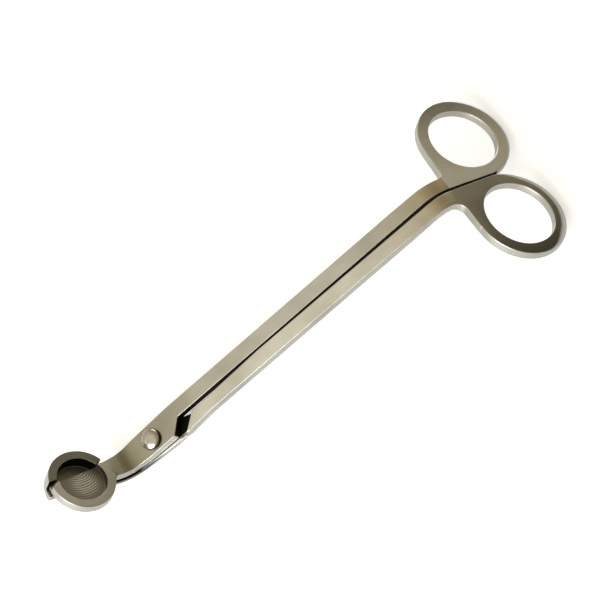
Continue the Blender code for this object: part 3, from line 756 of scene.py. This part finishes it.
def turning_tree(material):
    """A tree that turns a profile line into a closed round solid, as on a lathe."""
    tree = bpy.data.node_groups.new("turned_solid", "GeometryNodeTree")
    tree.is_modifier = True
    sockets = tree.interface
    sockets.new_socket("Profile", in_out="INPUT", socket_type="NodeSocketGeometry")
    for name, kind in (("Greatest Radius", "NodeSocketFloat"), ("Steps Round", "NodeSocketInt"),
                       ("Weld", "NodeSocketFloat")):
        sockets.new_socket(name, in_out="INPUT", socket_type=kind)
    sockets.new_socket("Solid", in_out="OUTPUT", socket_type="NodeSocketGeometry")
    nodes, links = tree.nodes, tree.links
    given = nodes.new("NodeGroupInput")
    result = nodes.new("NodeGroupOutput")
    line = nodes.new("GeometryNodeMeshToCurve")
    circle = nodes.new("GeometryNodeCurvePrimitiveCircle")
    swept = nodes.new("GeometryNodeCurveToMesh")
    merge = nodes.new("GeometryNodeMergeByDistance")
    realize = nodes.new("GeometryNodeRealizeInstances")
    finish = nodes.new("GeometryNodeSetMaterial")
    finish.inputs["Material"].default_value = material
    links.new(given.outputs["Profile"], line.inputs["Mesh"])
    links.new(given.outputs["Greatest Radius"], circle.inputs["Radius"])
    links.new(given.outputs["Steps Round"], circle.inputs["Resolution"])
    links.new(circle.outputs["Curve"], swept.inputs["Curve"])
    links.new(line.outputs["Curve"], swept.inputs["Profile Curve"])
    links.new(swept.outputs["Mesh"], merge.inputs["Geometry"])
    links.new(given.outputs["Weld"], merge.inputs["Distance"])
    links.new(merge.outputs["Geometry"], realize.inputs["Geometry"])
    links.new(realize.outputs["Geometry"], finish.inputs["Geometry"])
    links.new(finish.outputs["Geometry"], result.inputs["Solid"])
    return tree


def set_input(modifier, name, value):
    """Sets a node tree's named input on its modifier."""
    for item in modifier.node_group.interface.items_tree:
        if item.item_type == "SOCKET" and item.in_out == "INPUT" and item.name == name:
            modifier[item.identifier] = value


def make_rivet(material):
    """The rivet: a polished domed head, a straight shank and a flush tail."""
    reach = RIVET_HEAD / 2
    points = [(radius - reach, -height, 0) for radius, height in rivet_profile()]
    line = bpy.data.meshes.new("pivot_rivet_steel")
    line.from_pydata(points, [(k, k + 1) for k in range(len(points) - 1)], [])
    rivet = bpy.data.objects.new("pivot_rivet_steel", line)
    bpy.context.scene.collection.objects.link(rivet)
    turned = rivet.modifiers.new("turned", "NODES")
    turned.node_group = turning_tree(material)
    set_input(turned, "Greatest Radius", reach)
    set_input(turned, "Steps Round", RIVET_STEPS)
    set_input(turned, "Weld", WELD)
    rivet = applied(rivet)
    edit = bmesh.new()
    edit.from_mesh(rivet.data)
    bmesh.ops.recalc_face_normals(edit, faces=edit.faces)
    blank = edit.verts.layers.float_vector.new("blank")
    # painted shade: the rivet is dark round its foot and below, fading out between 0.8 and 1.3 mm up
    foot_shade = edit.loops.layers.float.new("painted_shade_mask")
    for face in edit.faces:
        for corner in face.loops:
            corner[foot_shade] = 1 - ramp(corner.vert.co.z, 0.8 * MM, 1.3 * MM)
    for vert in edit.verts:
        vert[blank] = vert.co / MM
        vert.co = TOOL @ vert.co
    edit.to_mesh(rivet.data)
    edit.free()
    return smooth(rivet, material)


# ---------------------------------------------------------------- finishes

def new_group(name, inputs, outputs):
    """A shader node group with named inputs (name, value) and outputs (name, kind)."""
    group = bpy.data.node_groups.new(name, "ShaderNodeTree")
    for label, value in inputs:
        kind = "NodeSocketVector" if value is None else "NodeSocketFloat"
        socket = group.interface.new_socket(label, in_out="INPUT", socket_type=kind)
        if value is not None:
            socket.default_value = value
    for label, kind in outputs:
        group.interface.new_socket(label, in_out="OUTPUT", socket_type=kind)
    return group, group.nodes.new("NodeGroupInput"), group.nodes.new("NodeGroupOutput")


def maths(nodes, links, operation, first, second=None, third=None, clamp=False):
    """A Math node fed by sockets or numbers, and its output."""
    node = nodes.new("ShaderNodeMath")
    node.operation = operation
    node.use_clamp = clamp
    for socket, value in zip(node.inputs, (first, second, third)):
        if value is None:
            continue
        if isinstance(value, (int, float)):
            socket.default_value = value
        else:
            links.new(value, socket)
    return node.outputs[0]


def brushed_grain_group():
    """Fine lines along the blank, in a few lengths and widths, and slow changes of tone."""
    group, given, result = new_group(
        "brushed_grain",
        [("Place", None), ("Lines Along", 0.12), ("Lines Across", 5.0), ("Cloud Size", 0.07)],
        [("Lines", "NodeSocketFloat"), ("Cloud", "NodeSocketFloat")])
    nodes, links = group.nodes, group.links
    parts = nodes.new("ShaderNodeSeparateXYZ")
    links.new(given.outputs["Place"], parts.inputs[0])
    lines = None
    for share, finer in ((0.6, 1.0), (0.4, 2.7)):
        stretched = nodes.new("ShaderNodeCombineXYZ")
        along = maths(nodes, links, "MULTIPLY", parts.outputs["X"], given.outputs["Lines Along"])
        across = maths(nodes, links, "MULTIPLY", parts.outputs["Y"], given.outputs["Lines Across"])
        deep = maths(nodes, links, "MULTIPLY", parts.outputs["Z"], given.outputs["Lines Across"])
        for axis, value in zip("XYZ", (along, across, deep)):
            fine = maths(nodes, links, "MULTIPLY", value, finer)
            links.new(fine, stretched.inputs[axis])
        noise = nodes.new("ShaderNodeTexNoise")
        noise.inputs["Scale"].default_value = 1.0
        noise.inputs["Detail"].default_value = 3.0
        noise.inputs["Roughness"].default_value = 0.6
        links.new(stretched.outputs[0], noise.inputs["Vector"])
        part = maths(nodes, links, "MULTIPLY", noise.outputs["Fac"], share)
        lines = part if lines is None else maths(nodes, links, "ADD", lines, part)
    links.new(lines, result.inputs["Lines"])
    cloud = nodes.new("ShaderNodeTexNoise")
    cloud.inputs["Detail"].default_value = 2.0
    links.new(given.outputs["Place"], cloud.inputs["Vector"])
    links.new(given.outputs["Cloud Size"], cloud.inputs["Scale"])
    links.new(cloud.outputs["Fac"], result.inputs["Cloud"])
    return group


def cutter_marks_group():
    """Curved lines that a milling cutter leaves on a cup's floor, with their waver."""
    group, given, result = new_group(
        "cutter_marks",
        [("Place", None), ("Arc Centre X", 0.0), ("Arc Centre Y", 0.0), ("Pitch", MARKS_PITCH),
         ("Waver", MARKS_WAVER), ("Floor Below", -1.5), ("Cup X", 0.0), ("Cup Y", 0.0),
         ("Cup Radius", 8.0), ("Marks X", 0.0), ("Marks Y", 0.0)],
        [("Ridges", "NodeSocketFloat"), ("Floor", "NodeSocketFloat")])
    nodes, links = group.nodes, group.links
    parts = nodes.new("ShaderNodeSeparateXYZ")
    links.new(given.outputs["Place"], parts.inputs[0])

    def distance(x_name, y_name):
        x = maths(nodes, links, "SUBTRACT", parts.outputs["X"], given.outputs[x_name])
        y = maths(nodes, links, "SUBTRACT", parts.outputs["Y"], given.outputs[y_name])
        return maths(nodes, links, "SQRT",
                     maths(nodes, links, "ADD", maths(nodes, links, "MULTIPLY", x, x),
                           maths(nodes, links, "MULTIPLY", y, y)))

    noise = nodes.new("ShaderNodeTexNoise")
    noise.inputs["Scale"].default_value = 0.35
    noise.inputs["Detail"].default_value = 2.0
    links.new(given.outputs["Place"], noise.inputs["Vector"])
    waver = maths(nodes, links, "MULTIPLY",
                  maths(nodes, links, "SUBTRACT", noise.outputs["Fac"], 0.5),
                  given.outputs["Waver"])
    out = maths(nodes, links, "ADD", distance("Arc Centre X", "Arc Centre Y"), waver)
    phase = maths(nodes, links, "MULTIPLY", maths(nodes, links, "DIVIDE", out,
                                                  given.outputs["Pitch"]), 2 * math.pi)
    wave = maths(nodes, links, "MULTIPLY_ADD", maths(nodes, links, "SINE", phase), 0.5, 0.5)
    sharp = maths(nodes, links, "POWER", wave, 1.6)
    strength = nodes.new("ShaderNodeMapRange")
    strength.inputs["From Min"].default_value = MARKS_END
    strength.inputs["From Max"].default_value = MARKS_FULL
    links.new(distance("Marks X", "Marks Y"), strength.inputs["Value"])
    links.new(maths(nodes, links, "MULTIPLY", sharp, strength.outputs["Result"]),
              result.inputs["Ridges"])
    below = maths(nodes, links, "LESS_THAN", parts.outputs["Z"], given.outputs["Floor Below"])
    inside = maths(nodes, links, "LESS_THAN", distance("Cup X", "Cup Y"),
                   given.outputs["Cup Radius"])
    links.new(maths(nodes, links, "MULTIPLY", below, inside), result.inputs["Floor"])
    return group


def mixed(nodes, links, share, first, second, blend="MIX"):
    """A colour between two, or one blended with the other, each a socket or a colour."""
    node = nodes.new("ShaderNodeMix")
    node.data_type = "RGBA"
    node.blend_type = blend
    links.new(share, node.inputs[0])
    for socket, value in ((node.inputs[6], first), (node.inputs[7], second)):
        if isinstance(value, tuple):
            socket.default_value = (*value, 1)
        else:
            links.new(value, socket)
    return node.outputs[2]


def ramp_node(nodes, links, value, stops):
    """A colour ramp fed by a value."""
    node = nodes.new("ShaderNodeValToRGB")
    bands = node.color_ramp
    while len(bands.elements) < len(stops):
        bands.elements.new(0.5)
    for element, (position, colour) in zip(bands.elements, stops):
        element.position = position
        element.color = (*colour, 1)
    links.new(value, node.inputs["Fac"])
    return node.outputs["Color"]


def along_blank(nodes, links, place, shade_stops):
    """Painted shade and tint changing slowly along the blank, each given as (millimetres from the
    rivet, tone).
    """
    start, end = shade_stops[0][0], shade_stops[-1][0]
    distance = nodes.new("ShaderNodeMapRange")
    distance.inputs["From Min"].default_value = start
    distance.inputs["From Max"].default_value = end
    links.new(place, distance.inputs["Value"])
    stops = [((spot - start) / (end - start), tone) for spot, tone in shade_stops]
    return ramp_node(nodes, links, distance.outputs["Result"], stops)


def with_painted_shade(nodes, links, place, colour, shade_stops, ring_painted_shade, fade):
    """The steel's colour with painted reflection and shade: along the blank, and outwards over the
    ring's face.
    """
    parts = nodes.new("ShaderNodeSeparateXYZ")
    links.new(place, parts.inputs[0])
    face = nodes.new("ShaderNodeMapRange")
    face.inputs["From Min"].default_value = FACE_FROM
    face.inputs["From Max"].default_value = FACE_FULLY
    links.new(parts.outputs["Z"], face.inputs["Value"])
    outwards = nodes.new("ShaderNodeMapRange")
    outwards.inputs["From Min"].default_value = RING_SHADE_FROM
    outwards.inputs["From Max"].default_value = RING_SHADE_TO
    links.new(maths(nodes, links, "ABSOLUTE", parts.outputs["Y"]), outwards.inputs["Value"])
    # painted shade over the ring's face, darker far from the split
    ring = mixed(nodes, links, outwards.outputs["Result"], *ring_painted_shade)
    beyond = nodes.new("ShaderNodeMapRange")
    beyond.inputs["From Min"].default_value = (RING_FLAT + GROUND_FROM) / MM - fade
    beyond.inputs["From Max"].default_value = (RING_FLAT + GROUND_FROM) / MM + fade
    links.new(parts.outputs["X"], beyond.inputs["Value"])
    tone = mixed(nodes, links, beyond.outputs["Result"],
                 along_blank(nodes, links, parts.outputs["X"], shade_stops), ring)
    doubled = nodes.new("ShaderNodeVectorMath")
    doubled.operation = "SCALE"
    doubled.inputs["Scale"].default_value = 2.0
    links.new(tone, doubled.inputs[0])
    return mixed(nodes, links, face.outputs["Result"], colour, doubled.outputs[0], "MULTIPLY")


def satin_steel(name, grain, marks, cup_centre, cup_depth, shade_stops, ring_painted_shade, fade):
    """Warm satin stainless steel, brushed along the blank, with a milled cup floor in painted shade,
    and painted reflection and shade along its face.
    """
    material = bpy.data.materials.new(name)
    material.use_nodes = True
    nodes, links = material.node_tree.nodes, material.node_tree.links
    shader = nodes["Principled BSDF"]
    shader.inputs["Metallic"].default_value = 1.0
    blank = nodes.new("ShaderNodeAttribute")
    blank.attribute_name = "blank"

    brushing = nodes.new("ShaderNodeGroup")
    brushing.node_tree = grain
    links.new(blank.outputs["Vector"], brushing.inputs["Place"])

    milling = nodes.new("ShaderNodeGroup")
    milling.node_tree = marks
    links.new(blank.outputs["Vector"], milling.inputs["Place"])
    centre_x, centre_y = cup_centre[0] / MM, cup_centre[1] / MM
    milling.inputs["Cup X"].default_value = centre_x
    milling.inputs["Cup Y"].default_value = centre_y
    milling.inputs["Cup Radius"].default_value = (CUP_INNER - MARKS_FROM_WALL) / MM
    milling.inputs["Arc Centre X"].default_value = centre_x + MARKS_ROUND[0]
    milling.inputs["Arc Centre Y"].default_value = centre_y + MARKS_ROUND[1]
    milling.inputs["Marks X"].default_value = centre_x + MARKS_STRONG[0]
    milling.inputs["Marks Y"].default_value = centre_y + MARKS_STRONG[1]
    milling.inputs["Floor Below"].default_value = -(cup_depth - MARKS_LAYER) / MM

    tone = maths(nodes, links, "ADD",
                 maths(nodes, links, "MULTIPLY", brushing.outputs["Lines"], LINE_SHARE),
                 maths(nodes, links, "MULTIPLY", brushing.outputs["Cloud"], 1 - LINE_SHARE))
    colour = ramp_node(nodes, links, tone, STEEL)
    # milling marks, on a floor darkened as painted shade under the rim
    milled_and_shaded = ramp_node(nodes, links, milling.outputs["Ridges"], MILLED_MARKS_AND_SHADE)
    # painted reflection and shade along the blank and over the rings
    colour = with_painted_shade(nodes, links, blank.outputs["Vector"], colour, shade_stops, ring_painted_shade, fade)
    # painted shade: black in gaps, recesses and under the parts, from the mask kept on the mesh
    painted_shade_mask = nodes.new("ShaderNodeAttribute")
    painted_shade_mask.attribute_name = "painted_shade_mask"
    bare = mixed(nodes, links, milling.outputs["Floor"], colour, milled_and_shaded)
    links.new(mixed(nodes, links, painted_shade_mask.outputs["Fac"], bare, PAINTED_SHADE_BLACK),
              shader.inputs["Base Color"])

    rough = maths(nodes, links, "MULTIPLY_ADD", brushing.outputs["Lines"], SATIN_LINES, SATIN)
    rough = maths(nodes, links, "MULTIPLY_ADD", milling.outputs["Floor"], MILLED_ROUGHER, rough)
    rough = maths(nodes, links, "MULTIPLY_ADD", painted_shade_mask.outputs["Fac"], PAINTED_SHADE_ROUGHER, rough)
    links.new(rough, shader.inputs["Roughness"])

    height = maths(nodes, links, "MULTIPLY_ADD",
                   maths(nodes, links, "MULTIPLY", milling.outputs["Ridges"],
                         milling.outputs["Floor"]), RIDGES,
                   brushing.outputs["Lines"])
    bump = nodes.new("ShaderNodeBump")
    bump.inputs["Strength"].default_value = SATIN_BUMP[0]
    bump.inputs["Distance"].default_value = SATIN_BUMP[1]
    links.new(height, bump.inputs["Height"])
    links.new(bump.outputs["Normal"], shader.inputs["Normal"])
    return material


def polished_steel(grain):
    """The rivet's polished steel, with a faint haze from handling and painted shade round its foot.
    """
    material = bpy.data.materials.new("polished_rivet")
    material.use_nodes = True
    nodes, links = material.node_tree.nodes, material.node_tree.links
    shader = nodes["Principled BSDF"]
    shader.inputs["Metallic"].default_value = 1.0
    blank = nodes.new("ShaderNodeAttribute")
    blank.attribute_name = "blank"
    haze = nodes.new("ShaderNodeGroup")
    haze.node_tree = grain
    haze.inputs["Lines Along"].default_value = 0.9
    haze.inputs["Lines Across"].default_value = 0.9
    haze.inputs["Cloud Size"].default_value = 0.6
    links.new(blank.outputs["Vector"], haze.inputs["Place"])
    colour = ramp_node(nodes, links, haze.outputs["Cloud"], POLISHED)
    # painted shade round the rivet's foot
    painted_shade_mask = nodes.new("ShaderNodeAttribute")
    painted_shade_mask.attribute_name = "painted_shade_mask"
    links.new(mixed(nodes, links, painted_shade_mask.outputs["Fac"], colour, RIVET_FOOT_SHADE),
              shader.inputs["Base Color"])
    rough = maths(nodes, links, "MULTIPLY_ADD", haze.outputs["Lines"], POLISH_LINES, POLISH)
    links.new(rough, shader.inputs["Roughness"])
    bump = nodes.new("ShaderNodeBump")
    bump.inputs["Strength"].default_value = POLISH_BUMP[0]
    bump.inputs["Distance"].default_value = POLISH_BUMP[1]
    links.new(haze.outputs["Cloud"], bump.inputs["Height"])
    links.new(bump.outputs["Normal"], shader.inputs["Normal"])
    return material


# ---------------------------------------------------------------- everything

set_camera()
set_floor_and_light()

grain = brushed_grain_group()
marks = cutter_marks_group()
upper_steel = satin_steel("upper_satin_steel", grain, marks, CUP_CENTRE, CUP_DEPTH,
                          UPPER_TINT_AND_SHADE, UPPER_RING_PAINTED_SHADE, UPPER_GROUND_EDGE)
lower_steel = satin_steel("lower_satin_steel", grain, marks, LOWER_CUP_CENTRE, LOWER_CUP_DEPTH,
                          LOWER_TINT_AND_SHADE, LOWER_RING_PAINTED_SHADE, LOWER_GROUND_EDGE)
rivet_steel = polished_steel(grain)

upper_half = make_upper_half(upper_steel)
lower_half = make_lower_half(lower_steel)
pivot_rivet = make_rivet(rivet_steel)

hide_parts("upper_half")
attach(upper_half, "upper_half")
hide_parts("lower_half")
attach(lower_half, "lower_half")
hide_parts("pivot_rivet")
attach(pivot_rivet, "lower_half")


def plain(box):
    """A box as plain lists of numbers."""
    return [[float(value) for value in corner] for corner in box]
